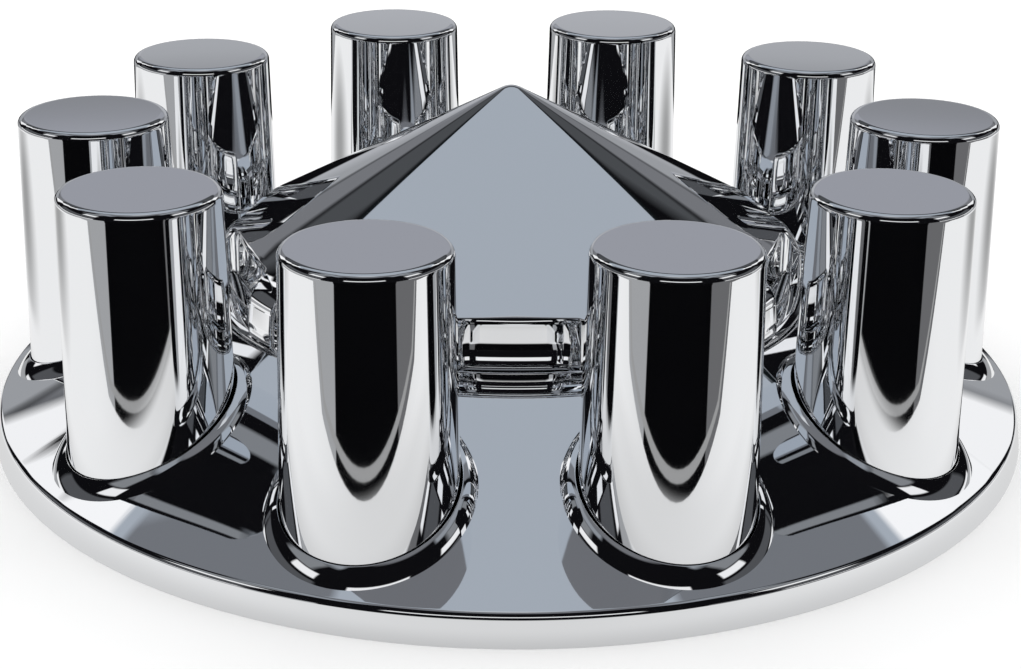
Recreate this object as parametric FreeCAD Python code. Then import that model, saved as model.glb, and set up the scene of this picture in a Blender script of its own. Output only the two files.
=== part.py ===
import FreeCAD, Part
import math
import os

# Front axle cover of a ten-stud truck wheel: a dished cover with a low rim, a pointed hub cap
# and ten tall nut covers. Millimetres, +Z along the axle, the rim's face on the plane z = 0.

# Wheel that the cover fits
lug_count = 10
bolt_circle_d = 285.75
nut_across_corners = 38.1

# Dished cover
cover_wall = 3.0
rim_foot_r = 180.5
rim_draft = 1.7
rim_height = 10.0
rim_bevel = 1.4
cap_seat_z = 43.0
cap_opening_r = 84.0

# Raised collar and well around each nut cover
nut_cover_gap = 0.4
collar_width = 5.8
collar_height = 3.0
well_wall = 2.5
well_floor = 2.5
well_floor_z = 1.5
well_ledge = 3.0

# Nut covers
nut_cover_r = 26.6
nut_cover_height = 101.0
nut_cover_top = 3.0
nut_cover_bevel = 1.6
nut_gap = 0.15

# Hub cap
cap_wall = 2.6
cap_flange_r = 104.0
cap_flange_thickness = 2.2
cap_flange_gap = 0.5
cap_ledge = 5.8
cap_band_height = 4.8
cap_flat_inset = 4.6
cap_rim_inset = 0.7
cap_cone_angle = 28.3
cap_tip_round = 4.0
cap_shoulder_inset = 2.0
cap_shoulder_drop = 5.0
cap_skirt_inset = 0.8

# Grip notches between the nut covers, and the finger hollow in each
notch_width = 48.0
notch_corner_round = 5.0
hollow_length = 37.0
hollow_height = 13.4
hollow_depth = 4.7
hollow_lip_below = 0.8
hollow_lip_above = 1.8

# Spigot that centres the hub cap in the cover
spigot_gap = 0.4
spigot_wall = 2.6
spigot_depth = 9.0

# Heights and radii that follow from the sizes above
bolt_circle_r = bolt_circle_d / 2
lug_step = 360.0 / lug_count
seat_r = cap_flange_r + cap_flange_gap
dish_top_z = cap_seat_z + cap_flange_thickness
rim_top_r = rim_foot_r - rim_draft
dish_slope = (dish_top_z - rim_height) / (rim_top_r - seat_r)
bore_r = nut_cover_r + nut_cover_gap
collar_r = bore_r + collar_width
nut_cover_seat_z = well_floor_z + well_floor
socket_r = nut_across_corners / 2 + nut_gap
cap_base_z = cap_seat_z + cap_flange_thickness
cap_band_r = cap_flange_r - cap_ledge
cap_flat_r = cap_band_r - cap_flat_inset
cap_rim_r = cap_band_r - cap_rim_inset
notch_floor_z = cap_base_z + cap_band_height
flat_top_z = notch_floor_z + hollow_lip_below + hollow_height + hollow_lip_above
cone_slope = math.tan(math.radians(cap_cone_angle))
cone_apex_z = flat_top_z + cap_flat_r * cone_slope
cap_rim_z = cone_apex_z - cap_rim_r * cone_slope
spigot_r = cap_opening_r - spigot_gap

ORIGIN = FreeCAD.Vector(0, 0, 0)
UP = FreeCAD.Vector(0, 0, 1)


def section(r, z):
    """Point of a half section, in the XZ plane."""
    return FreeCAD.Vector(r, 0, z)


def plan(x, y):
    """Point of a plan outline, in the XY plane."""
    return FreeCAD.Vector(x, y, 0)


def rounded_face(corners, place=section):
    """Flat face through (a, b, round) corners, with a tangent arc at each rounded one."""
    turns = []
    for index, (a, b, radius) in enumerate(corners):
        here = place(a, b)
        if radius == 0:
            turns.append((here, None, here))
            continue
        following = corners[(index + 1) % len(corners)]
        before = (place(*corners[index - 1][:2]) - here).normalize()
        after = (place(*following[:2]) - here).normalize()
        half_angle = before.getAngle(after) / 2
        inward = (before + after).normalize()
        reach = radius / math.tan(half_angle)
        middle = here + inward * (radius / math.sin(half_angle) - radius)
        turns.append((here + before * reach, middle, here + after * reach))
    edges = []
    for index, (arrive, middle, leave) in enumerate(turns):
        if middle is not None:
            edges.append(Part.Arc(arrive, middle, leave).toShape())
        target = turns[(index + 1) % len(turns)][0]
        edges.append(Part.makeLine(leave, target))
    return Part.Face(Part.Wire(edges))


def revolved(corners):
    """Solid of revolution about the axle from (r, z, round) corners."""
    return rounded_face(corners).revolve(ORIGIN, UP, 360)


def sharp(points):
    """The same points as corners with no rounding."""
    return [(r, z, 0) for r, z in points]


def inset(points, distances):
    """Corners of a chain of lines after each line has moved to its right by its own distance."""
    lines = []
    for (r0, z0), (r1, z1), distance in zip(points, points[1:], distances):
        length = math.hypot(r1 - r0, z1 - z0)
        normal = ((z1 - z0) / length, -(r1 - r0) / length)
        lines.append((normal, normal[0] * r0 + normal[1] * z0 + distance))
    corners = []
    for ((a0, b0), c0), ((a1, b1), c1) in zip(lines, lines[1:]):
        scale = a0 * b1 - a1 * b0
        corners.append(((c0 * b1 - c1 * b0) / scale, (a0 * c1 - a1 * c0) / scale))
    return corners


def around(shape, count, start=0.0):
    """Copies of a shape spaced evenly about the axle."""
    copies = []
    for index in range(count):
        copy = shape.copy()
        copy.rotate(ORIGIN, UP, start + index * 360.0 / count)
        copies.append(copy)
    return copies


def cylinder(radius, low, high, x=0.0):
    """Upright cylinder between two heights."""
    return Part.makeCylinder(radius, high - low, FreeCAD.Vector(x, 0, low), UP)


def dish_z(r):
    """Height of the cover's outer cone at a radius."""
    return rim_height + (rim_top_r - r) * dish_slope


def dish_slice(low, high):
    """Conical slice between two heights above the cover's outer cone, its seam away from +X."""
    inner = bolt_circle_r - 2 * collar_r
    outer = bolt_circle_r + 2 * collar_r
    ring = revolved(sharp([
        (inner, dish_z(inner) + high),
        (outer, dish_z(outer) + high),
        (outer, dish_z(outer) + low),
        (inner, dish_z(inner) + low),
    ]))
    ring.rotate(ORIGIN, UP, 180)
    return ring


def make_cup():
    """Raised collar and the well under it, for the nut cover on +X."""
    high_z = dish_z(bolt_circle_r - collar_r) + collar_height
    tube = cylinder(bore_r + well_wall, well_floor_z, high_z, bolt_circle_r)
    tube = tube.common(dish_slice(-high_z, -cover_wall / 3))
    bead = cylinder(collar_r, 0, high_z, bolt_circle_r)
    bead = bead.common(dish_slice(-cover_wall * 2 / 3, collar_height))
    bore = cylinder(bore_r, nut_cover_seat_z, high_z, bolt_circle_r)
    hole = cylinder(bore_r - well_ledge, 0, high_z, bolt_circle_r)
    return tube.fuse(bead).cut([bore, hole])


def make_axle_cover():
    """Dished cover with its rim, cap seat, collars and wells, moulded in one piece."""
    knee_r = rim_top_r - (cap_seat_z - rim_height) / dish_slope
    chain = [
        (cap_opening_r, 0),
        (cap_opening_r, cap_seat_z),
        (knee_r, cap_seat_z),
        (rim_top_r, rim_height),
        (rim_foot_r, 0),
        (0, 0),
    ]
    underside = inset(chain, [0, cover_wall, cover_wall, cover_wall, 0])
    shell = revolved([
        (cap_opening_r, cap_seat_z, 0),
        (seat_r, cap_seat_z, 0),
        (seat_r, dish_top_z, 0),
        (rim_top_r - rim_bevel, dish_z(rim_top_r - rim_bevel), 0),
        (rim_top_r, rim_height - rim_bevel, 0),
        (rim_foot_r, 0, 0),
    ] + sharp(reversed(underside)))
    shell.rotate(ORIGIN, UP, lug_step / 2)
    room = cylinder(bore_r + well_wall / 2, 0, dish_top_z, bolt_circle_r)
    shell = shell.cut(around(room, lug_count))
    return shell.fuse(around(make_cup(), lug_count)).removeSplitter()


def make_nut_cover():
    """Tall closed cylinder with a bevelled top and a socket that turns on over the nut."""
    foot_z = nut_cover_seat_z
    top_z = foot_z + nut_cover_height
    cover = revolved(sharp([
        (0, foot_z),
        (0, top_z),
        (nut_cover_r - nut_cover_bevel, top_z),
        (nut_cover_r, top_z - nut_cover_bevel),
        (nut_cover_r, foot_z),
    ]))
    cover = cover.cut(cylinder(socket_r, foot_z, top_z - nut_cover_top))
    cover.translate(FreeCAD.Vector(bolt_circle_r, 0, 0))
    return cover


def cap_body(depth):
    """Hub cap above its flange with every turned surface moved in by a depth, before the notches."""
    chain = [
        (0, 0),
        (0, cone_apex_z),
        (cap_rim_r, cap_rim_z),
        (cap_flange_r - cap_shoulder_inset, cap_rim_z - cap_shoulder_drop),
        (cap_flange_r - cap_skirt_inset, cap_base_z),
        (0, cap_base_z),
    ]
    corners = inset(chain, [0, depth, depth, depth, 0])
    return revolved(sharp([(0, cap_base_z)] + corners))


def cone_tip():
    """What is taken off the cone above the ball that rounds its tip."""
    angle = math.radians(cap_cone_angle)
    centre_z = cone_apex_z - cap_tip_round / math.cos(angle)
    touch_r = cap_tip_round * math.sin(angle)
    touch_z = centre_z + cap_tip_round * math.cos(angle)
    block = cylinder(2 * touch_r, touch_z, cone_apex_z + cap_tip_round)
    return block.cut(Part.makeSphere(cap_tip_round, FreeCAD.Vector(0, 0, centre_z)))


def upright_block(near, half, turn, low):
    """Block for one notch, from a height to above the cap, with its two inner corners rounded."""
    far = cap_flange_r + cap_ledge
    outline = rounded_face([
        (near, -half, turn),
        (far, -half, 0),
        (far, half, 0),
        (near, half, turn),
    ], plan)
    block = outline.extrude(UP * (cone_apex_z - low))
    block.translate(UP * low)
    return block


def notch_tool():
    """Cutter of the grip notch on +X: the notch, the step under it and its finger hollow."""
    half = notch_width / 2
    upper = upright_block(cap_flat_r, half, notch_corner_round, notch_floor_z)
    lower = upright_block(cap_flat_r, half, notch_corner_round, cap_base_z)
    lower = lower.cut(cylinder(cap_band_r, cap_base_z, cone_apex_z))
    hollow_r = ((hollow_height / 2) ** 2 + hollow_depth ** 2) / (2 * hollow_depth)
    start = FreeCAD.Vector(
        cap_flat_r - hollow_depth + hollow_r,
        -hollow_length / 2,
        notch_floor_z + hollow_lip_below + hollow_height / 2,
    )
    hollow = Part.makeCylinder(hollow_r, hollow_length, start, FreeCAD.Vector(0, 1, 0))
    return upper.fuse([lower, hollow])


def make_hub_cap():
    """Pointed cap with a flange that lies on the cover's seat and a spigot in its opening."""
    solid = cap_body(0).cut(cone_tip())
    solid = solid.cut(around(notch_tool(), lug_count, lug_step / 2))
    flange = cylinder(cap_flange_r, cap_seat_z, cap_base_z)
    spigot = cylinder(spigot_r, cap_seat_z - spigot_depth, cap_seat_z)
    wall_r = cap_flat_r - hollow_depth - cap_wall
    backing = upright_block(wall_r, notch_width / 2 + cap_wall, 0, cap_base_z)
    inside = cap_body(cap_wall).cut(around(backing, lug_count, lug_step / 2))
    throat = cylinder(spigot_r - spigot_wall, cap_seat_z - spigot_depth, cap_base_z)
    return solid.fuse([flange, spigot]).cut([inside, throat]).removeSplitter()


os.makedirs("parts", exist_ok=True)
make_axle_cover().exportStep("parts/axle_cover.step")
make_hub_cap().exportStep("parts/hub_cap.step")
for number, nut_cover in enumerate(around(make_nut_cover(), lug_count), start=1):
    nut_cover.exportStep(f"parts/nut_cover_{number:02d}.step")
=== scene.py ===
"""Chromed axle cover with a pointed hub cap and ten nut covers, dressed for its picture."""
import logging
import math
from dataclasses import dataclass, field
from enum import Enum
from typing import Iterable, Sequence

import bmesh
import bpy
from mathutils import Matrix, Vector


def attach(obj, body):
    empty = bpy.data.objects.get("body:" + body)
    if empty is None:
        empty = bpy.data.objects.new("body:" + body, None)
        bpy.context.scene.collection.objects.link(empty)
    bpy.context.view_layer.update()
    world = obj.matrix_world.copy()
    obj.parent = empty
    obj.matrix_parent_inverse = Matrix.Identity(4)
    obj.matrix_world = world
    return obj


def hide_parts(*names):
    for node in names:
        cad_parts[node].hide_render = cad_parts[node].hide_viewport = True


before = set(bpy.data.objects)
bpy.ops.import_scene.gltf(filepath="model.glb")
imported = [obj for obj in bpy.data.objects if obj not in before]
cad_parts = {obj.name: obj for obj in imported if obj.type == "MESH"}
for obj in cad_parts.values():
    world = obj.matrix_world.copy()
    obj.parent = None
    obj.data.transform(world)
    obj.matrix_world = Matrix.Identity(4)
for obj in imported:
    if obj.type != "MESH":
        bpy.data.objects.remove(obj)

LOG = logging.getLogger("axle_cover")
MM = 0.001  # metres in a millimetre
MERGE = 0.0005  # millimetres within which two vertices are one
SHARP_ANGLE = 38.0  # degrees between faces from which an edge stays sharp
SMALL_RADIUS = 0.7  # millimetres up to which an arc is small and needs few spans
SMALL_SPANS = 3
LUGS = 10
QUARTER = math.pi / 2
Corner = tuple[float, float, float]
Point2 = tuple[float, float]
Colour = tuple[float, float, float]


class Slot(Enum):
    """Material slots of the record."""

    COVER = "cover_chrome"
    CAP = "cap_chrome"
    NUT_COVER = "nut_cover_chrome"


class Seen(Enum):
    """Which rays meet a stage object."""

    CAMERA = "camera"
    REFLECTION = "reflection"


def rounded(corners: Sequence[Corner], steps: int = 6, closed: bool = True, hold: float = 0.25) -> list[Point2]:
    """Points of an outline whose corners are replaced by tangent arcs.

    Args:
        corners: (a, b, radius) corners in order.
        steps: Spans of each arc that isn't small.
        closed: Whether the last corner joins the first.
        hold: Distance from an arc's end at which a straight run gets a holding point.

    Returns:
        The outline's points in order.
    """
    points: list[Point2] = []
    count = len(corners)
    for index, (a, b, radius) in enumerate(corners):
        here = Vector((a, b))
        at_end = not closed and index in (0, count - 1)
        if radius <= 0.0 or at_end:
            points.append((a, b))
            continue
        to_last = Vector(corners[index - 1][:2]) - here
        to_next = Vector(corners[(index + 1) % count][:2]) - here
        half = to_last.angle(to_next) / 2.0
        reach = radius / math.tan(half)
        to_last.normalize()
        to_next.normalize()
        centre = here + (to_last + to_next).normalized() * (radius / math.sin(half))
        start = here + to_last * reach - centre
        turn = math.pi - 2.0 * half
        side = 1.0 if to_last.cross(to_next) < 0.0 else -1.0
        points.append(tuple(here + to_last * (reach + hold)))
        spans = steps if radius > SMALL_RADIUS else SMALL_SPANS
        for step in range(spans + 1):
            angle = side * turn * step / spans
            cos, sin = math.cos(angle), math.sin(angle)
            spoke = Vector((start.x * cos - start.y * sin, start.x * sin + start.y * cos))
            points.append(tuple(centre + spoke))
        points.append(tuple(here + to_next * (reach + hold)))
    return points


def spin_outline(bm: bmesh.types.BMesh, points: Iterable[Point2], steps: int, closed: bool = True) -> None:
    """Spins an (r, z) outline once around the Z axis.

    Args:
        bm: Mesh that receives the surface.
        points: Outline points.
        steps: Spans around.
        closed: Whether the outline joins up with its first point.
    """
    chain = [bm.verts.new((r, 0.0, z)) for r, z in points]
    edges = [bm.edges.new(pair) for pair in zip(chain, chain[1:])]
    if closed:
        edges.append(bm.edges.new((chain[-1], chain[0])))
    bmesh.ops.spin(bm, geom=chain + edges, cent=(0, 0, 0), axis=(0, 0, 1), angle=2 * math.pi,
                   steps=steps, use_merge=True, use_duplicate=False)


def smooth_shading(bm: bmesh.types.BMesh) -> None:
    """Shades a mesh smooth, apart from its sharp edges.

    Args:
        bm: The mesh.
    """
    limit = math.radians(SHARP_ANGLE)
    for face in bm.faces:
        face.smooth = True
    for edge in bm.edges:
        edge.smooth = not (len(edge.link_faces) == 2 and edge.calc_face_angle() > limit)


def finish_mesh(name: str, bm: bmesh.types.BMesh) -> bpy.types.Object:
    """Turns a bmesh in millimetres into an object in metres, smooth but for its sharp edges.

    Args:
        name: Name of the object.
        bm: The finished shape.

    Returns:
        The new object, linked to the scene.
    """
    bmesh.ops.remove_doubles(bm, verts=bm.verts, dist=MERGE)
    bmesh.ops.dissolve_degenerate(bm, edges=bm.edges, dist=MERGE)
    bmesh.ops.recalc_face_normals(bm, faces=bm.faces)
    bmesh.ops.scale(bm, vec=(MM, MM, MM), verts=bm.verts)
    smooth_shading(bm)
    mesh = bpy.data.meshes.new(name)
    bm.to_mesh(mesh)
    bm.free()
    piece = bpy.data.objects.new(name, mesh)
    bpy.context.scene.collection.objects.link(piece)
    return piece


def applied(piece: bpy.types.Object) -> None:
    """Bakes the modifiers of an object into its mesh.

    Args:
        piece: The object.
    """
    graph = bpy.context.evaluated_depsgraph_get()
    mesh = bpy.data.meshes.new_from_object(piece.evaluated_get(graph))
    piece.modifiers.clear()
    old = piece.data
    piece.data = mesh
    bpy.data.meshes.remove(old)


@dataclass
class MathNodes:
    """Adds Math nodes to a node tree."""

    tree: bpy.types.NodeTree

    def add(self, operation: str, *values: object, clamp: bool = False) -> bpy.types.NodeSocket:
        """Adds a Math node.

        Args:
            operation: The node's operation.
            values: A socket or a number for each input.
            clamp: Whether the result stays between 0 and 1.

        Returns:
            The node's output.
        """
        node = self.tree.nodes.new("ShaderNodeMath")
        node.operation = operation
        node.use_clamp = clamp
        for index, value in enumerate(values):
            if isinstance(value, (int, float)):
                node.inputs[index].default_value = value
            else:
                self.tree.links.new(value, node.inputs[index])
        return node.outputs[0]

    def ramp(self, value: bpy.types.NodeSocket, start: float, stop: float, low: float,
             high: float) -> bpy.types.NodeSocket:
        """Adds a smooth ramp of a value from one range to another.

        Args:
            value: The value that drives the ramp.
            start: Value at which the ramp starts.
            stop: Value at which it ends.
            low: Result at the start.
            high: Result at the end.

        Returns:
            The ramp's output.
        """
        node = self.tree.nodes.new("ShaderNodeMapRange")
        node.interpolation_type = "SMOOTHSTEP"
        for name, number in (("From Min", start), ("From Max", stop), ("To Min", low), ("To Max", high)):
            node.inputs[name].default_value = number
        self.tree.links.new(value, node.inputs["Value"])
        return node.outputs["Result"]


def plating_group() -> bpy.types.ShaderNodeTree:
    """Builds the shared effect of thin plating on a moulded part.

    Returns:
        A node group that puts out a roughness and a height that change over the surface.
    """
    group = bpy.data.node_groups.new("plating", "ShaderNodeTree")
    for name in ("Scale", "Roughness", "Haze"):
        group.interface.new_socket(name, in_out="INPUT", socket_type="NodeSocketFloat")
    for name in ("Roughness", "Height"):
        group.interface.new_socket(name, in_out="OUTPUT", socket_type="NodeSocketFloat")
    nodes, links = group.nodes, group.links
    given = nodes.new("NodeGroupInput")
    made = nodes.new("NodeGroupOutput")
    place = nodes.new("ShaderNodeTexCoord")
    haze = nodes.new("ShaderNodeTexNoise")
    haze.inputs["Detail"].default_value = 4.0
    haze.inputs["Roughness"].default_value = 0.6
    wave = nodes.new("ShaderNodeTexNoise")
    wave.inputs["Scale"].default_value = 26.0
    wave.inputs["Detail"].default_value = 1.0
    amount = nodes.new("ShaderNodeMath")
    amount.operation = "MULTIPLY_ADD"
    links.new(place.outputs["Object"], haze.inputs["Vector"])
    links.new(place.outputs["Object"], wave.inputs["Vector"])
    links.new(given.outputs["Scale"], haze.inputs["Scale"])
    links.new(haze.outputs["Fac"], amount.inputs[0])
    links.new(given.outputs["Haze"], amount.inputs[1])
    links.new(given.outputs["Roughness"], amount.inputs[2])
    links.new(amount.outputs[0], made.inputs["Roughness"])
    links.new(wave.outputs["Fac"], made.inputs["Height"])
    return group


@dataclass(frozen=True)
class ChromePlate:
    """Mirror chrome on moulded plastic."""

    name: str
    tint: Colour = (0.93, 0.94, 0.955)
    roughness: float = 0.012
    haze: float = 0.02
    haze_scale: float = 40.0
    ripple: float = 0.02
    ripple_depth: float = 0.0004

    def material(self, plating: bpy.types.ShaderNodeTree) -> bpy.types.Material:
        """Makes the material.

        Args:
            plating: The shared plating effect.

        Returns:
            The finished material.
        """
        made = bpy.data.materials.new(self.name)
        made.use_nodes = True
        nodes, links = made.node_tree.nodes, made.node_tree.links
        shader = nodes["Principled BSDF"]
        shader.inputs["Base Color"].default_value = (*self.tint, 1.0)
        shader.inputs["Metallic"].default_value = 1.0
        effect = nodes.new("ShaderNodeGroup")
        effect.node_tree = plating
        effect.inputs["Scale"].default_value = self.haze_scale
        effect.inputs["Roughness"].default_value = self.roughness
        effect.inputs["Haze"].default_value = self.haze
        bump = nodes.new("ShaderNodeBump")
        bump.inputs["Strength"].default_value = self.ripple
        bump.inputs["Distance"].default_value = self.ripple_depth
        links.new(effect.outputs["Roughness"], shader.inputs["Roughness"])
        links.new(effect.outputs["Height"], bump.inputs["Height"])
        links.new(bump.outputs["Normal"], shader.inputs["Normal"])
        return made


@dataclass
class NutCover:
    """Tall closed cover over one wheel nut, with a threaded sleeve inside."""

    foot_z: float = 4.0
    height: float = 101.0
    foot_r: float = 27.4
    top_r: float = 25.4
    edge_round: float = 2.5
    wall: float = 2.4
    top: float = 3.0
    socket_r: float = 19.2
    sleeve_r: float = 21.6
    sleeve_low: float = 12.0
    ribs: int = 6
    rib_thickness: float = 2.0
    rib_bite: float = 0.5
    thread_start: float = 2.0
    thread_pitch: float = 3.0
    thread_share: float = 0.32
    thread_turns: int = 7
    thread_spans: int = 36
    thread_depth: float = 0.7
    thread_root: float = 0.1
    steps: int = 144

    def shell(self, bm: bmesh.types.BMesh) -> None:
        """Spins the outer shell and the sleeve as one outline.

        Args:
            bm: Mesh that receives them.
        """
        low, high = self.foot_z, self.foot_z + self.height
        ceiling = high - self.top
        slope = (self.foot_r - self.top_r) / self.height
        inner_top = self.foot_r - self.wall - slope * (ceiling - low)
        outline = rounded([
            (0.0, high, 0.0),
            (self.top_r, high, self.edge_round),
            (self.foot_r, low, 0.5),
            (self.foot_r - self.wall, low, 0.4),
            (inner_top, ceiling, 0.0),
            (self.sleeve_r, ceiling, 0.0),
            (self.sleeve_r, self.sleeve_low, 0.4),
            (self.socket_r, self.sleeve_low, 0.6),
            (self.socket_r, ceiling, 0.0),
            (0.0, ceiling, 0.0),
        ], closed=False)
        spin_outline(bm, outline, self.steps, closed=False)

    def rib(self, bm: bmesh.types.BMesh, index: int) -> None:
        """Adds one web between the sleeve and the shell.

        Args:
            bm: Mesh that receives it.
            index: Its number around the sleeve.
        """
        high = self.foot_z + self.height - self.top
        slope = (self.foot_r - self.top_r) / self.height
        inner, outer = self.sleeve_r - self.rib_bite, self.foot_r - self.wall + self.rib_bite
        middle = (inner + outer) / 2
        web = bmesh.ops.create_cube(bm, size=1.0)["verts"]
        size = (outer - inner, self.rib_thickness, high - self.sleeve_low)
        bmesh.ops.scale(bm, vec=size, verts=web)
        bmesh.ops.translate(bm, vec=(middle, 0, (high + self.sleeve_low) / 2), verts=web)
        for vert in web:
            if vert.co.x > middle:
                vert.co.x -= slope * (vert.co.z - self.foot_z)
        turn = Matrix.Rotation(2 * math.pi * index / self.ribs, 3, "Z")
        bmesh.ops.rotate(bm, cent=(0, 0, 0), matrix=turn, verts=web)

    def thread(self, bm: bmesh.types.BMesh) -> None:
        """Spins the thread's ridge up the sleeve as a helix.

        Args:
            bm: Mesh that receives it.
        """
        low = self.sleeve_low + self.thread_start
        half = self.thread_pitch * self.thread_share
        chain = [bm.verts.new(co) for co in (
            (self.socket_r + self.thread_root, 0.0, low),
            (self.socket_r - self.thread_depth, 0.0, low + half),
            (self.socket_r + self.thread_root, 0.0, low + 2 * half),
        )]
        edges = [bm.edges.new(pair) for pair in zip(chain, chain[1:])]
        bmesh.ops.spin(bm, geom=chain + edges, cent=(0, 0, 0), axis=(0, 0, 1),
                       dvec=(0, 0, self.thread_pitch / self.thread_spans),
                       angle=2 * math.pi * self.thread_turns,
                       steps=self.thread_spans * self.thread_turns, use_duplicate=False)

    def build(self, name: str, angle: float, circle_r: float) -> bpy.types.Object:
        """Builds the cover at its place on the bolt circle.

        Args:
            name: Name of the piece.
            angle: Direction from the axle, in radians from +X.
            circle_r: Radius of the bolt circle.

        Returns:
            The finished object.
        """
        bm = bmesh.new()
        self.shell(bm)
        bmesh.ops.remove_doubles(bm, verts=bm.verts, dist=MERGE)
        for index in range(self.ribs):
            self.rib(bm, index)
        self.thread(bm)
        bmesh.ops.translate(bm, vec=(circle_r, 0, 0), verts=bm.verts)
        bmesh.ops.rotate(bm, cent=(0, 0, 0), matrix=Matrix.Rotation(angle, 3, "Z"), verts=bm.verts)
        return finish_mesh(name, bm)


@dataclass
class AxleCover:
    """Dished cover with its rim, cap seat, raised collars and wells."""

    circle_r: float = 142.875
    rim_foot_r: float = 180.5
    rim_top_r: float = 178.8
    rim_height: float = 10.0
    rim_roll: float = 2.6
    wall: float = 3.0
    seat_z: float = 43.0
    seat_r: float = 104.5
    opening_r: float = 84.0
    dish_top_z: float = 45.2
    bore_r: float = 27.5
    collar_r: float = 32.5
    collar_height: float = 3.4
    collar_lean: float = 1.2
    collar_round: float = 8.0
    collar_crown: float = 1.9
    collar_sink: float = 0.6
    collar_root: float = 1.0
    well_wall: float = 2.5
    well_floor_z: float = 1.5
    well_floor: float = 2.5
    well_hole_r: float = 24.0
    steps: int = 360
    collar_steps: int = 120
    room_middle: float = 30.0
    room_depth: float = 80.0
    dish_mark: float = 100.0

    def slope(self) -> float:
        """Fall of the dish's outer cone."""
        return (self.dish_top_z - self.rim_height) / (self.rim_top_r - self.seat_r)

    def dish_z(self, r: float) -> float:
        """Height of the dish's outer cone at a radius."""
        return self.rim_height + (self.rim_top_r - r) * self.slope()

    def shell(self) -> bpy.types.Object:
        """Spins the dish and cuts the ten round rooms for the collars out of it.

        Returns:
            The dish's object.
        """
        slope = self.slope()
        drop = self.wall * math.hypot(1.0, slope)
        inner_rim = self.rim_foot_r - self.wall
        knee = self.rim_top_r - (self.seat_z - self.wall + drop - self.rim_height) / slope
        outline = rounded([
            (self.opening_r, self.seat_z - self.wall, 0.4),
            (self.opening_r, self.seat_z, 0.6),
            (self.seat_r, self.seat_z, 0.0),
            (self.seat_r, self.dish_top_z, 0.8),
            (self.rim_top_r, self.rim_height, self.rim_roll),
            (self.rim_foot_r, 0.0, 0.5),
            (inner_rim, 0.0, 0.4),
            (inner_rim - 1.3, self.rim_height + slope * 3.0 - drop, 1.0),
            (knee, self.seat_z - self.wall, 1.0),
        ], steps=8)
        bm = bmesh.new()
        spin_outline(bm, outline, self.steps)
        shell = finish_mesh("axle_cover", bm)
        cutter_mesh = bmesh.new()
        room_r = self.bore_r + self.well_wall / 2
        for index in range(LUGS):
            angle = 2 * math.pi * index / LUGS
            place = Vector((self.circle_r * math.cos(angle), self.circle_r * math.sin(angle), self.room_middle))
            bmesh.ops.create_cone(cutter_mesh, cap_ends=True, segments=self.collar_steps, depth=self.room_depth,
                                  radius1=room_r, radius2=room_r, matrix=Matrix.Translation(place))
        cutter = finish_mesh("collar_rooms", cutter_mesh)
        cut = shell.modifiers.new("rooms", "BOOLEAN")
        cut.operation = "DIFFERENCE"
        cut.solver = "EXACT"
        cut.object = cutter
        applied(shell)
        bpy.data.objects.remove(cutter)
        return shell

    def cup_outline(self) -> list[Point2]:
        """Works out one collar and well, with the heights that follow the dish counted from dish_mark.

        Returns:
            The outline's points.
        """
        dish = self.dish_mark
        under = dish - self.wall * 1.12
        outer_well = self.bore_r + self.well_wall
        floor_top = self.well_floor_z + self.well_floor
        return rounded([
            (self.well_hole_r, self.well_floor_z, 0.3),
            (self.well_hole_r, floor_top, 0.3),
            (self.bore_r, floor_top, 0.0),
            (self.bore_r, dish + self.collar_height, 0.1),
            (self.collar_r - self.collar_crown, dish + self.collar_height - self.collar_lean, self.collar_round),
            (self.collar_r, dish - self.collar_sink, 0.0),
            (outer_well + self.collar_root, dish - 2.0, 0.0),
            (outer_well + self.collar_root, under - 0.05, 0.0),
            (outer_well, under - 1.2, 0.5),
            (outer_well, self.well_floor_z, 0.4),
        ], steps=10)

    def cups(self) -> bmesh.types.BMesh:
        """Spins one collar with its well, leans it on the dish and repeats it round the axle.

        Returns:
            The mesh of all ten.
        """
        bm = bmesh.new()
        spin_outline(bm, self.cup_outline(), self.collar_steps)
        bmesh.ops.remove_doubles(bm, verts=bm.verts, dist=MERGE)
        bmesh.ops.translate(bm, vec=(self.circle_r, 0, 0), verts=bm.verts)
        for vert in bm.verts:
            if vert.co.z > self.dish_mark / 2:
                vert.co.z += self.dish_z(math.hypot(vert.co.x, vert.co.y)) - self.dish_mark
        geometry = bm.verts[:] + bm.edges[:] + bm.faces[:]
        bmesh.ops.spin(bm, geom=geometry, cent=(0, 0, 0), axis=(0, 0, 1), angle=2 * math.pi * (LUGS - 1) / LUGS,
                       steps=LUGS - 1, use_duplicate=True)
        return bm

    def build(self) -> bpy.types.Object:
        """Builds the whole cover as one object.

        Returns:
            The finished object.
        """
        shell = self.shell()
        cups = finish_mesh("collars", self.cups())
        whole = bmesh.new()
        whole.from_mesh(shell.data)
        smooth_shading(whole)
        whole.from_mesh(cups.data)
        whole.to_mesh(shell.data)
        whole.free()
        bpy.data.objects.remove(cups)
        return shell


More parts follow.
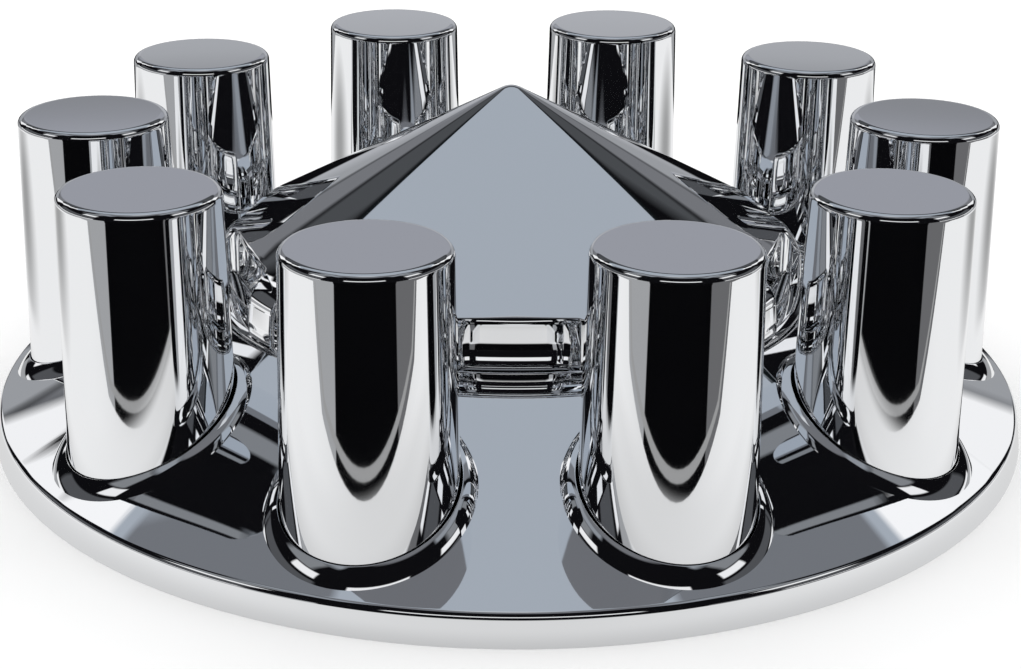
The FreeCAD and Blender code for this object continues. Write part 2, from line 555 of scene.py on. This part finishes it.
@dataclass
class HubCap:
    """Pointed cap with a notched grip skirt, a flange and a spigot."""

    flange_r: float = 104.0
    seat_z: float = 43.0
    flange_top: float = 45.2
    band_r: float = 98.2
    floor_z: float = 50.0
    flat_r: float = 93.6
    flat_top: float = 66.0
    cone_slope: float = math.tan(math.radians(28.3))
    tip_round: float = 7.0
    rim_r: float = 97.5
    rim_blend: float = 0.42
    rim_reach: float = 6.0
    shoulder_r: float = 102.0
    shoulder_drop: float = 5.0
    foot_r: float = 103.2
    notch_half: float = 24.0
    notch_corner: float = 4.0
    corner_steps: int = 10
    nose: float = 1.2
    nose_least: float = 0.05
    nose_share: float = 0.7
    nose_steps: int = 6
    pillar_steps: int = 7
    pillar_reach: float = 3.0
    edge_round: float = 1.4
    shoulder_round: float = 2.6
    notch_bow: float = 1.23
    hollow_half: float = 18.8
    hollow_top: float = 64.3
    hollow_knee: float = 57.0
    hollow_sweep: float = 12.5
    hollow_depth: float = 3.0
    hollow_end: float = 4.4
    hollow_margin: float = 2.0
    hollow_least: float = 0.04
    hollow_turn: float = 0.6
    hollow_tilt: float = 0.017
    hollow_curl: float = 0.00025
    hollow_power: float = 3.5
    wall: float = 2.6
    spigot_r: float = 83.6
    spigot_wall: float = 2.6
    spigot_depth: float = 9.0
    top_inset: float = 1.8
    top_steps: int = 5
    soft_share: float = 0.8
    soft_steps: int = 7
    fillet: float = 0.6
    fillet_share: float = 0.4
    fillet_steps: int = 3
    lip: float = 0.7
    lip_share: float = 0.5
    lip_steps: int = 4
    flare_start: float = 59.0
    small_edge: float = 0.3
    flange_edge: float = 0.5
    flange_bevel: float = 0.15
    spigot_edge: float = 0.4
    cone_radii: tuple[float, ...] = (0.35, 1.0, 1.7, 2.4, 2.9, 3.3, 3.8, 30.0, 70.0, 86.0)
    inner_radii: tuple[float, ...] = (82.0, 60.0, 20.0, 3.0, 1.5, 0.5)

    def envelope_z(self, r: float, depth: float = 0.0) -> float:
        """Works out the height of the cap's outer turned surface.

        Args:
            r: Radius at which it is wanted.
            depth: How far the surface is moved in.

        Returns:
            The height.
        """
        apex = self.flat_top + self.flat_r * self.cone_slope - depth * math.hypot(1.0, self.cone_slope)
        angle = math.atan(self.cone_slope)
        cone = apex - r * self.cone_slope
        touch = self.tip_round * math.sin(angle)
        if r < touch:
            centre = apex - self.tip_round / math.cos(angle)
            cone = centre + math.sqrt(self.tip_round ** 2 - r ** 2)
        rim_r = self.rim_r - depth
        steep = self.shoulder_drop / (self.shoulder_r - self.rim_r)
        shoulder = apex - rim_r * self.cone_slope - (r - rim_r) * steep
        if r <= rim_r - self.rim_reach:
            return cone
        return (cone + shoulder - math.hypot(cone - shoulder, self.rim_blend)) / 2.0

    def edge_line(self, depth: float = 0.0) -> list[Point2]:
        """Works out the plan of half a notch and half a pillar, from the notch's middle to the pillar's.

        Args:
            depth: How far the surface is moved in.

        Returns:
            The points of the plan.
        """
        flat, half = self.flat_r - depth, self.notch_half + depth
        turn, outer = self.notch_corner + depth, self.shoulder_r - depth
        run = half - turn
        wide = [0.12 * step for step in range(6)] + [0.66, 0.71]
        fine = [0.73 + 0.018 * step for step in range(13)] + [0.98]
        points = [(flat - self.notch_bow * stop ** 2, run * stop) for stop in wide + fine]
        flat -= self.notch_bow
        points.append((flat, run))
        for step in range(1, self.corner_steps + 1):
            angle = QUARTER * step / self.corner_steps
            points.append((flat + turn - turn * math.cos(angle), half - turn + turn * math.sin(angle)))
        corner_x = math.sqrt(outer ** 2 - half ** 2)
        corner_angle = math.atan2(half, corner_x)
        small = min(self.nose, max(self.nose_least, (corner_x - flat - turn) * self.nose_share))
        arc_in = Vector((corner_x - small, half))
        swing = small / outer
        arc_out = Vector((outer * math.cos(corner_angle + swing), outer * math.sin(corner_angle + swing)))
        corner = Vector((corner_x, half))
        for step in range(self.nose_steps + 1):
            t = step / self.nose_steps
            points.append(tuple(arc_in * (1 - t) ** 2 + corner * 2 * t * (1 - t) + arc_out * t * t))
        start, end = corner_angle + swing, math.pi / LUGS
        for step in range(1, self.pillar_steps + 1):
            angle = start + (end - start) * step / self.pillar_steps
            points.append((outer * math.cos(angle), outer * math.sin(angle)))
        return points

    def hollow(self, y: float, z: float) -> float:
        """Works out the depth of the finger hollow below a notch's flat wall.

        Args:
            y: Distance from the notch's middle.
            z: Height.

        Returns:
            The depth.
        """
        past = abs(y) - (self.hollow_half - self.hollow_end)
        middle = (self.hollow_top + self.floor_z) / 2
        tall = self.hollow_top - self.floor_z + self.hollow_margin
        bulge = 1.0 - ((z - middle) / tall * 2.0) ** 2
        reach = self.hollow_end * math.sqrt(max(self.hollow_least, bulge))
        if z > self.hollow_top or past >= reach:
            return 0.0
        over = z - self.hollow_knee
        if over < 0.0:
            sine = min(self.hollow_turn, -over / self.hollow_sweep)
            deep = self.hollow_depth - self.hollow_sweep * (1.0 - math.sqrt(1.0 - sine * sine))
        else:
            deep = self.hollow_depth - self.hollow_tilt * over - self.hollow_curl * over ** self.hollow_power
        return deep * math.sqrt(1.0 - max(0.0, past / reach) ** 2)

    def column(self, edge: Point2, share: float, depth: float) -> list[Vector]:
        """One run of points from near the tip, over the edge and down to the flange.

        Args:
            edge: The column's point on the plan outline.
            share: Its share of the way from the notch's middle to the pillar's.
            depth: How far the surface is moved in.

        Returns:
            The column's points, as many for every column of one depth.
        """
        spread = share * math.pi / LUGS
        inner_r = self.flat_r - depth - self.top_inset
        goal = Vector(edge)
        near = Vector((inner_r * math.cos(spread), inner_r * math.sin(spread)))
        on_pillar = min(1.0, max(0.0, (goal.length - self.rim_r + depth) / self.pillar_reach))
        soft = self.edge_round + (self.shoulder_round - self.edge_round) * on_pillar
        way = goal - near
        soft = min(soft, way.length * self.soft_share)
        start = goal - way.normalized() * soft
        points = [Vector((*(near.lerp(start, t / self.top_steps)), 0.0)) for t in range(self.top_steps + 1)]
        for point in points:
            point.z = self.envelope_z(Vector(point[:2]).length, depth)
        for step in range(1, self.soft_steps + 1):
            angle = QUARTER * step / self.soft_steps
            flat = start.lerp(goal, math.sin(angle))
            points.append(Vector((*flat, self.envelope_z(flat.length, depth) - soft * (1 - math.cos(angle)))))
        top_z = points[-1].z
        floor = self.floor_z - depth
        low_edge = self.pushed_out(goal, self.band_r - depth)
        room = (low_edge - goal).length
        fillet = min(self.fillet, room * self.fillet_share)
        wall_low = floor + fillet
        for level in [0.025, 0.06, 0.10] + [0.10 + 0.05 * step for step in range(1, 19)]:
            z = top_z + (wall_low - top_z) * level
            flare = self.flare(goal.length + depth, z)
            inward = self.hollow(goal.y, z) if goal.y < self.hollow_half else 0.0
            points.append(Vector((goal.x * flare - inward, goal.y * flare, z)))
        outward = (low_edge - goal).normalized() if room > 1e-6 else Vector((0.0, 0.0))
        for step in range(1, self.fillet_steps + 1):
            angle = QUARTER * step / self.fillet_steps
            flat = goal * self.flare(goal.length + depth, floor) + outward * fillet * (1 - math.cos(angle))
            points.append(Vector((*flat, wall_low - fillet * math.sin(angle))))
        lip = min(self.lip, room * self.lip_share)
        for step in range(self.lip_steps + 1):
            angle = QUARTER * step / self.lip_steps
            flat = low_edge * self.flare(low_edge.length + depth, floor) - outward * lip * (1 - math.sin(angle))
            points.append(Vector((*flat, floor - lip * (1 - math.cos(angle)))))
        return points

    def flare(self, r: float, z: float) -> float:
        """Works out how much a pillar's face widens towards its foot.

        Args:
            r: Radius of the face.
            z: Height.

        Returns:
            The factor of the radius.
        """
        past = r - self.shoulder_r + self.pillar_reach
        if past < 0.0:
            return 1.0
        weight = min(1.0, past / self.pillar_reach)
        down = max(0.0, (self.flare_start - z) / (self.flare_start - self.flange_top))
        return 1.0 + weight * down * (self.foot_r - self.shoulder_r) / self.shoulder_r

    @staticmethod
    def pushed_out(point: Vector, radius: float) -> Vector:
        """Moves a point that lies inside a circle along X onto it.

        Args:
            point: The point.
            radius: Radius of the circle.

        Returns:
            The new point.
        """
        if point.length >= radius:
            return point.copy()
        return Vector((math.sqrt(radius ** 2 - point.y ** 2), point.y))

    def rings(self, depth: float) -> list[list[Vector]]:
        """Places all columns around the cap and regroups them as rings.

        Args:
            depth: How far the surface is moved in.

        Returns:
            The rings, from the cone outwards.
        """
        half = self.edge_line(depth)
        lengths = [0.0]
        for first, second in zip(half, half[1:]):
            lengths.append(lengths[-1] + math.dist(first, second))
        shares = [length / lengths[-1] for length in lengths]
        right = [self.column(edge, share, depth) for edge, share in zip(half, shares)]
        left = [[Vector((p.x, -p.y, p.z)) for p in column] for column in right]
        sector = left[:0:-1] + right[:-1]
        columns = []
        for index in range(LUGS):
            turn = Matrix.Rotation(2 * math.pi * (index + 0.5) / LUGS, 3, "Z")
            columns += [[turn @ point for point in column] for column in sector]
        return [list(ring) for ring in zip(*columns)]

    @staticmethod
    def ring_at(ring: Sequence[Vector], r: float, z: float) -> list[Vector]:
        """Moves the points of a ring onto a circle.

        Args:
            ring: The ring, whose directions are kept.
            r: Radius of the circle.
            z: Its height.

        Returns:
            The new points.
        """
        made = []
        for point in ring:
            angle = math.atan2(point.y, point.x)
            made.append(Vector((r * math.cos(angle), r * math.sin(angle), z)))
        return made

    @staticmethod
    def even_ring(count: int, r: float, z: float) -> list[Vector]:
        """Evenly spaced points on a circle at a height, from the middle of the first pillar."""
        turns = [2 * math.pi * index / count for index in range(count)]
        return [Vector((r * math.cos(turn), r * math.sin(turn), z)) for turn in turns]

    def build(self) -> bpy.types.Object:
        """Builds the cap by drawing one ring of edges out over all its rings in turn.

        Returns:
            The finished object.
        """
        outer, inner = self.rings(0.0), self.rings(self.wall)
        first, last = outer[0], outer[-1]
        plan: list[list[Vector]] = []
        for r in self.cone_radii:
            plan.append(self.even_ring(len(first), r, self.envelope_z(r)))
        plan += outer
        top, low = self.flange_top, self.seat_z
        small, edge, bevel = self.small_edge, self.flange_edge, self.flange_bevel
        plan.append([Vector((p.x, p.y, top + small)) for p in last])
        plan.append([Vector((*(p.xy * (1 + small / p.xy.length)), top)) for p in last])
        flange, spigot = self.flange_r, self.spigot_r
        end, bore = low - self.spigot_depth, spigot - self.spigot_wall
        for r, z in ((flange - edge, top), (flange - bevel, top - bevel), (flange, top - edge), (flange, low + small),
                     (flange - small, low), (spigot, low), (spigot, end + self.spigot_edge),
                     (spigot - self.spigot_edge, end), (bore, end), (bore, top)):
            plan.append(self.ring_at(last, r, z))
        plan.append([Vector((p.x, p.y, top)) for p in inner[-1]])
        plan += inner[::-2]
        for r in self.inner_radii:
            plan.append(self.even_ring(len(first), r, self.envelope_z(r, self.wall)))
        bm = bmesh.new()
        loop = bmesh.ops.create_circle(bm, cap_ends=True, segments=len(first), radius=1.0)["verts"]
        for vert, point in zip(loop, plan[0]):
            vert.co = point
        edges = list(bm.edges)
        for ring in plan[1:]:
            drawn = bmesh.ops.extrude_edge_only(bm, edges=edges)["geom"]
            edges = [item for item in drawn if isinstance(item, bmesh.types.BMEdge) and item.is_boundary]
            fresh = {item for item in drawn if isinstance(item, bmesh.types.BMVert)}
            loop = self.follow(loop, fresh)
            for vert, point in zip(loop, ring):
                vert.co = point
        bmesh.ops.contextual_create(bm, geom=edges)
        return finish_mesh("hub_cap", bm)

    @staticmethod
    def follow(loop: Sequence[bmesh.types.BMVert], fresh: set[bmesh.types.BMVert]) -> list[bmesh.types.BMVert]:
        """Puts drawn-out vertices in the order of the ring that they came from.

        Args:
            loop: The vertices of that ring.
            fresh: The new vertices.

        Returns:
            The new vertices in order.
        """
        made = []
        for vert in loop:
            made.append(next(edge.other_vert(vert) for edge in vert.link_edges if edge.other_vert(vert) in fresh))
        return made


@dataclass(frozen=True)
class Panel:
    """Soft-edged patch of the studio around the object, as directions see it.

    Azimuth counts from +Y towards +X, elevation from the horizon, both in degrees.
    """

    azimuth: float
    half_width: float
    low: float
    high: float
    colour: Colour
    soft_side: float = 4.0
    soft_level: float = 1.0


def pair(azimuth: float, *rest: object) -> tuple[Panel, Panel]:
    """Two equal panels, left and right of the middle plane."""
    return Panel(-azimuth, *rest), Panel(azimuth, *rest)


@dataclass(frozen=True)
class Table:
    """White table top under the object, as the chrome reflects it: a glowing sheet with painted light that rises from
    straight ahead to the sides, and a painted shadow spot.
    """

    drop: float = 0.123
    front: float = -0.526
    back: float = 0.800
    half_width: float = 1.5
    strip: tuple[float, float] = (-0.566, -0.548)
    bow: float = 0.60
    bow_reach: float = 0.45
    bow_cells: int = 60
    strip_tone: float = 0.33
    # painted light of the table: its glow straight ahead and to the sides
    painted_light_ahead: float = 0.70
    painted_light_aside: float = 0.88
    # painted shadow: a darker spot on the table
    shade_tone: float = 0.36
    shade_at: tuple[float, float] = (0.66, 0.42)
    shade_start: float = 0.03
    shade_reach: float = 0.45
    aside_angle: float = math.radians(70.0)
    # painted contact shadow on the apron between its first two radii; the last two fade the apron out
    apron_r: tuple[float, float, float, float] = (0.181, 0.216, 0.232, 0.265)
    apron_shade: float = 0.80
    apron_drop: float = 0.0006
    apron_spans: int = 96


@dataclass
class Studio:
    """Floor, surroundings and camera of the picture."""

    focal_px: float = 2093.31
    width_px: float = 1021.0
    distance: float = 0.69571
    height: float = 0.30139
    pitch: float = 21.754
    yaw: float = 0.047
    roll: float = 0.617
    turn: float = 1.481
    sensor: float = 36.0
    clip: Point2 = (0.01, 100.0)
    floor_half: float = 6.0
    floor_colour: Colour = (0.96, 0.96, 0.96)
    floor_roughness: float = 0.9
    daylight: float = 1.2
    base: Colour = (0.36, 0.365, 0.375)
    table: Table = Table()
    panels: list[Panel] = field(default_factory=lambda: [
        # below the horizon, where the table ends
        Panel(130.0, 52.0, -90.0, 1.0, (0.14, 0.14, 0.145), 2.0),
        Panel(180.0, 40.0, -90.0, 1.0, (0.002, 0.002, 0.0025), 1.0),
        Panel(0.0, 30.0, -90.0, 1.0, (0.004, 0.004, 0.005), 1.0),
        # dark room with its grey ceiling and the pale wall behind the object
        Panel(0.0, 200.0, -0.5, 91.0, (0.004, 0.004, 0.005), 4.0, 1.0),
        Panel(0.0, 200.0, 69.0, 91.0, (0.16, 0.165, 0.18), 4.0, 3.0),
        Panel(0.0, 60.0, 41.0, 91.0, (0.38, 0.42, 0.475), 6.0, 0.5),
        *pair(53.0, 7.0, 45.0, 70.0, (0.17, 0.18, 0.20), 2.0),
        Panel(0.0, 80.0, 82.0, 91.0, (0.62, 0.64, 0.67), 8.0, 3.0),
        # lower part of that wall, which the flat tops and the sides of the cone reflect
        Panel(0.0, 37.0, 26.5, 40.0, (0.068, 0.072, 0.078), 3.0, 2.0),
        Panel(0.0, 35.0, 15.0, 27.0, (0.18, 0.185, 0.20), 4.0, 2.0),
        Panel(0.0, 20.0, 14.0, 27.0, (0.32, 0.33, 0.37), 5.0, 2.0),
        Panel(0.0, 35.0, -1.0, 16.0, (0.33, 0.34, 0.36), 4.0, 2.0),
        Panel(0.0, 18.0, -1.0, 15.0, (0.43, 0.44, 0.47), 5.0, 2.0),
        # windows left and right of it, with the ledge between them
        *pair(38.0, 6.0, 9.0, 26.0, (0.93, 0.93, 0.94), 1.5, 1.0),
        *pair(48.0, 5.5, 33.0, 44.0, (0.97, 0.97, 0.98), 1.5, 1.0),
        Panel(0.0, 45.0, 39.8, 41.5, (0.006, 0.008, 0.009), 2.0, 0.4),
        *pair(43.5, 6.0, 24.5, 35.0, (0.95, 0.95, 0.96), 1.5, 1.0),
        # walls at the two sides
        *pair(95.0, 33.0, 58.0, 72.0, (0.27, 0.29, 0.32), 5.0, 4.0),
        *pair(92.0, 34.0, 6.0, 25.0, (0.08, 0.083, 0.09), 4.0, 2.0),
        *pair(88.0, 37.0, 0.0, 4.5, (0.90, 0.90, 0.91), 2.0, 1.0),
        *pair(98.0, 18.0, 42.0, 60.0, (0.22, 0.23, 0.245), 6.0, 2.0),
        *pair(110.0, 13.0, 28.0, 42.0, (0.88, 0.88, 0.89), 2.0, 2.0),
        # light behind the camera
        Panel(180.0, 28.0, 19.0, 30.0, (0.85, 0.85, 0.86), 2.0, 1.0),
    ])

    def camera(self) -> None:
        """Places the camera where the photograph was taken from."""
        data = bpy.data.cameras.new("camera")
        data.sensor_width = self.sensor
        data.lens = self.focal_px * self.sensor / self.width_px
        data.clip_start, data.clip_end = self.clip
        eye = bpy.data.objects.new("camera", data)
        bpy.context.scene.collection.objects.link(eye)
        around = Matrix.Rotation(-math.radians(self.turn + self.yaw), 3, "Z")
        down = Matrix.Rotation(math.radians(90.0 - self.pitch), 3, "X")
        lean = Matrix.Rotation(math.radians(self.roll), 3, "Z")
        place = Matrix.Rotation(-math.radians(self.turn), 3, "Z") @ Vector((0.0, -self.distance, self.height))
        eye.matrix_world = Matrix.Translation(place) @ (around @ down @ lean).to_4x4()
        bpy.context.scene.camera = eye

    def sheet(self, name: str, low: Point2, high: Point2, z: float, seen: Seen, cells: int = 1) -> bpy.types.Object:
        """Makes a flat stage sheet; one of several cells has its front bowed towards the object at the sides.

        Args:
            name: Name of the sheet.
            low: Its lowest x and y.
            high: Its highest x and y.
            z: Its height.
            seen: Which rays meet it.
            cells: Number of cells across it.

        Returns:
            The sheet's object.
        """
        bm = bmesh.new()
        bmesh.ops.create_grid(bm, x_segments=cells, y_segments=1, size=0.5)
        bmesh.ops.scale(bm, vec=(high[0] - low[0], high[1] - low[1], 1.0), verts=bm.verts)
        bmesh.ops.translate(bm, vec=((low[0] + high[0]) / 2, (low[1] + high[1]) / 2, z), verts=bm.verts)
        if cells > 1:
            for vert in bm.verts:
                if vert.co.y < 0.0:
                    vert.co.y += self.table.bow * min(abs(vert.co.x), self.table.bow_reach) ** 2
        return self.staged(name, bm, seen)

    @staticmethod
    def staged(name: str, bm: bmesh.types.BMesh, seen: Seen) -> bpy.types.Object:
        """Turns a bmesh in metres into a stage object.

        Args:
            name: Name of the object.
            bm: Its shape.
            seen: Which rays meet it.

        Returns:
            The stage object.
        """
        mesh = bpy.data.meshes.new(name)
        bm.to_mesh(mesh)
        bm.free()
        sheet = bpy.data.objects.new(name, mesh)
        bpy.context.scene.collection.objects.link(sheet)
        sheet.visible_glossy = seen is Seen.REFLECTION
        sheet.visible_camera = seen is Seen.CAMERA
        sheet.visible_diffuse = False
        sheet.visible_shadow = False
        return sheet

    def floor(self) -> None:
        """Lays the pale floor that the camera sees."""
        half = self.floor_half
        floor = self.sheet("floor", (-half, -half), (half, half), 0.0, Seen.CAMERA)
        paint = bpy.data.materials.new("pale_floor")
        paint.use_nodes = True
        shader = paint.node_tree.nodes["Principled BSDF"]
        shader.inputs["Base Color"].default_value = (*self.floor_colour, 1.0)
        shader.inputs["Roughness"].default_value = self.floor_roughness
        shader.inputs["Specular IOR Level"].default_value = 0.0
        floor.data.materials.append(paint)

    def table_top(self) -> None:
        """Lays the white table top that the chrome reflects, with painted light that rises towards the sides, a
        painted shadow spot and a strip in front of its edge.
        """
        table = self.table
        top = self.sheet("table_top", (-table.half_width, table.front), (table.half_width, table.back),
                         -table.drop, Seen.REFLECTION, table.bow_cells)
        strip = self.sheet("table_strip", (-table.half_width, table.strip[0]), (table.half_width, table.strip[1]),
                           -table.drop, Seen.REFLECTION, table.bow_cells)
        _, shine = self.glow(strip)
        shine.inputs["Strength"].default_value = table.strip_tone
        tree, shine = self.glow(top)
        maths = MathNodes(tree)
        across, along, painted_light = self.table_painted_light(maths)
        # painted shadow: a darker spot in the table's glow around shade_at
        off_x = maths.add("SUBTRACT", across, table.shade_at[0])
        off_y = maths.add("SUBTRACT", along, table.shade_at[1])
        square = maths.add("ADD", maths.add("MULTIPLY", off_x, off_x), maths.add("MULTIPLY", off_y, off_y))
        shade = maths.ramp(maths.add("SQRT", square), table.shade_start, table.shade_reach, table.shade_tone, 1.0)
        tree.links.new(maths.add("MINIMUM", painted_light, shade), shine.inputs["Strength"])

    @staticmethod
    def glow(sheet: bpy.types.Object) -> tuple[bpy.types.NodeTree, bpy.types.ShaderNodeEmission]:
        """Gives a stage sheet an evenly shining material.

        Args:
            sheet: The sheet.

        Returns:
            The material's node tree and its emission node.
        """
        paint = bpy.data.materials.new(sheet.name)
        paint.use_nodes = True
        tree = paint.node_tree
        tree.nodes.clear()
        shine = tree.nodes.new("ShaderNodeEmission")
        end = tree.nodes.new("ShaderNodeOutputMaterial")
        tree.links.new(shine.outputs[0], end.inputs["Surface"])
        sheet.data.materials.append(paint)
        return tree, shine

    def table_painted_light(self, maths: MathNodes) -> tuple[bpy.types.NodeSocket, ...]:
        """Adds the painted light of the white table, which rises from straight ahead to the sides.

        Args:
            maths: Maker of the nodes.

        Returns:
            The distance from the middle plane, the place along the view and the painted light.
        """
        place = maths.tree.nodes.new("ShaderNodeTexCoord")
        parts = maths.tree.nodes.new("ShaderNodeSeparateXYZ")
        maths.tree.links.new(place.outputs["Object"], parts.inputs[0])
        across = maths.add("ABSOLUTE", parts.outputs["X"])
        along = parts.outputs["Y"]
        aside = maths.add("ARCTAN2", across, maths.add("MULTIPLY", along, -1.0))
        # painted light: the table glows dimmer straight ahead and brighter to the sides
        painted_light = maths.ramp(aside, 0.0, self.table.aside_angle, self.table.painted_light_ahead, self.table.painted_light_aside)
        return across, along, painted_light

    def apron(self) -> None:
        """Lays the round patch of pale floor that the rim's wall reflects, with a painted contact shadow that darkens
        it towards the rim.
        """
        near, far, fade, end = self.table.apron_r
        bm = bmesh.new()
        bmesh.ops.create_circle(bm, cap_ends=True, segments=self.table.apron_spans, radius=end)
        bmesh.ops.translate(bm, vec=(0.0, 0.0, -self.table.apron_drop), verts=bm.verts)
        tree, shine = self.glow(self.staged("apron", bm, Seen.REFLECTION))
        maths = MathNodes(tree)
        across, along, painted_light = self.table_painted_light(maths)
        square = maths.add("ADD", maths.add("MULTIPLY", across, across), maths.add("MULTIPLY", along, along))
        reach = maths.add("SQRT", square)
        # painted contact shadow: the apron's glow is darker next to the rim
        shade = maths.ramp(reach, near, far, self.table.apron_shade, 1.0)
        tree.links.new(maths.add("MULTIPLY", painted_light, shade), shine.inputs["Strength"])
        clear = tree.nodes.new("ShaderNodeBsdfTransparent")
        blend = tree.nodes.new("ShaderNodeMixShader")
        tree.links.new(maths.ramp(reach, fade, end, 0.0, 1.0), blend.inputs[0])
        tree.links.new(shine.outputs[0], blend.inputs[1])
        tree.links.new(clear.outputs[0], blend.inputs[2])
        tree.links.new(blend.outputs[0], tree.nodes["Material Output"].inputs["Surface"])

    def surroundings(self) -> None:
        """Builds the world: white behind the object, panels for the chrome to reflect."""
        world = bpy.data.worlds.new("studio")
        bpy.context.scene.world = world
        world.use_nodes = True
        tree = world.node_tree
        tree.nodes.clear()
        new, link = tree.nodes.new, tree.links.new
        maths = MathNodes(tree)
        direction = new("ShaderNodeTexCoord")
        parts = new("ShaderNodeSeparateXYZ")
        link(direction.outputs["Generated"], parts.inputs[0])
        turn = maths.add("ARCTAN2", parts.outputs["X"], parts.outputs["Y"])
        azimuth = maths.add("DEGREES", turn)
        level = maths.add("DEGREES", maths.add("ARCSINE", parts.outputs["Z"]))
        studio = new("ShaderNodeBackground")
        colour: bpy.types.NodeSocket | None = None
        for panel in self.panels:
            off = maths.add("WRAP", maths.add("SUBTRACT", azimuth, panel.azimuth), 180.0, -180.0)
            inside = maths.add("SUBTRACT", panel.half_width, maths.add("ABSOLUTE", off))
            side = maths.add("DIVIDE", inside, panel.soft_side, clamp=True)
            above = maths.add("DIVIDE", maths.add("SUBTRACT", level, panel.low), panel.soft_level, clamp=True)
            below = maths.add("DIVIDE", maths.add("SUBTRACT", panel.high, level), panel.soft_level, clamp=True)
            mix = new("ShaderNodeMix")
            mix.data_type = "RGBA"
            link(maths.add("MULTIPLY", side, maths.add("MULTIPLY", above, below)), mix.inputs["Factor"])
            if colour is None:
                mix.inputs[6].default_value = (*self.base, 1.0)
            else:
                link(colour, mix.inputs[6])
            mix.inputs[7].default_value = (*panel.colour, 1.0)
            colour = mix.outputs[2]
        path = new("ShaderNodeLightPath")
        white = new("ShaderNodeBackground")
        white.inputs["Color"].default_value = (1.0, 1.0, 1.0, 1.0)
        white.inputs["Strength"].default_value = self.daylight
        link(colour, studio.inputs["Color"])
        choose = new("ShaderNodeMixShader")
        end = new("ShaderNodeOutputWorld")
        link(path.outputs["Is Glossy Ray"], choose.inputs[0])
        link(white.outputs[0], choose.inputs[1])
        link(studio.outputs[0], choose.inputs[2])
        link(choose.outputs[0], end.inputs["Surface"])

    def build(self) -> None:
        """Sets up the whole studio."""
        self.camera()
        self.floor()
        self.table_top()
        self.apron()
        self.surroundings()
        bpy.context.scene.view_settings.view_transform = "Standard"
        bpy.context.scene.view_settings.look = "None"


def main() -> None:
    """Builds every piece, dresses it and sets the stage."""
    logging.basicConfig(level=logging.INFO, format="%(message)s")
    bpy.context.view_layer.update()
    plating = plating_group()
    cover = AxleCover()
    body = cover.build()
    body.name = "axle_cover_chromed"
    finish = ChromePlate("cover_chrome").material(plating)
    register(body, finish, "axle_cover")
    cap = HubCap().build()
    cap.name = "hub_cap_chromed"
    register(cap, ChromePlate("cap_chrome").material(plating), "hub_cap")
    nut_finish = ChromePlate("nut_cover_chrome").material(plating)
    for index in range(LUGS):
        node = f"nut_cover_{index + 1:02d}"
        nut = NutCover().build(node + "_chromed", 2 * math.pi * index / LUGS, cover.circle_r)
        register(nut, nut_finish, node)
    Studio().build()


def register(piece: bpy.types.Object, material: bpy.types.Material, node: str) -> None:
    """Gives a piece its finish and its place on the body, and hides the node it stands for.

    Args:
        piece: The finished object.
        material: Its finish.
        node: The node that it stands for.
    """
    piece.data.materials.clear()
    piece.data.materials.append(material)
    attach(piece, "root")
    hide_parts(node)
    LOG.info("%s: %d faces", piece.name, len(piece.data.polygons))


if __name__ == "__main__":
    main()
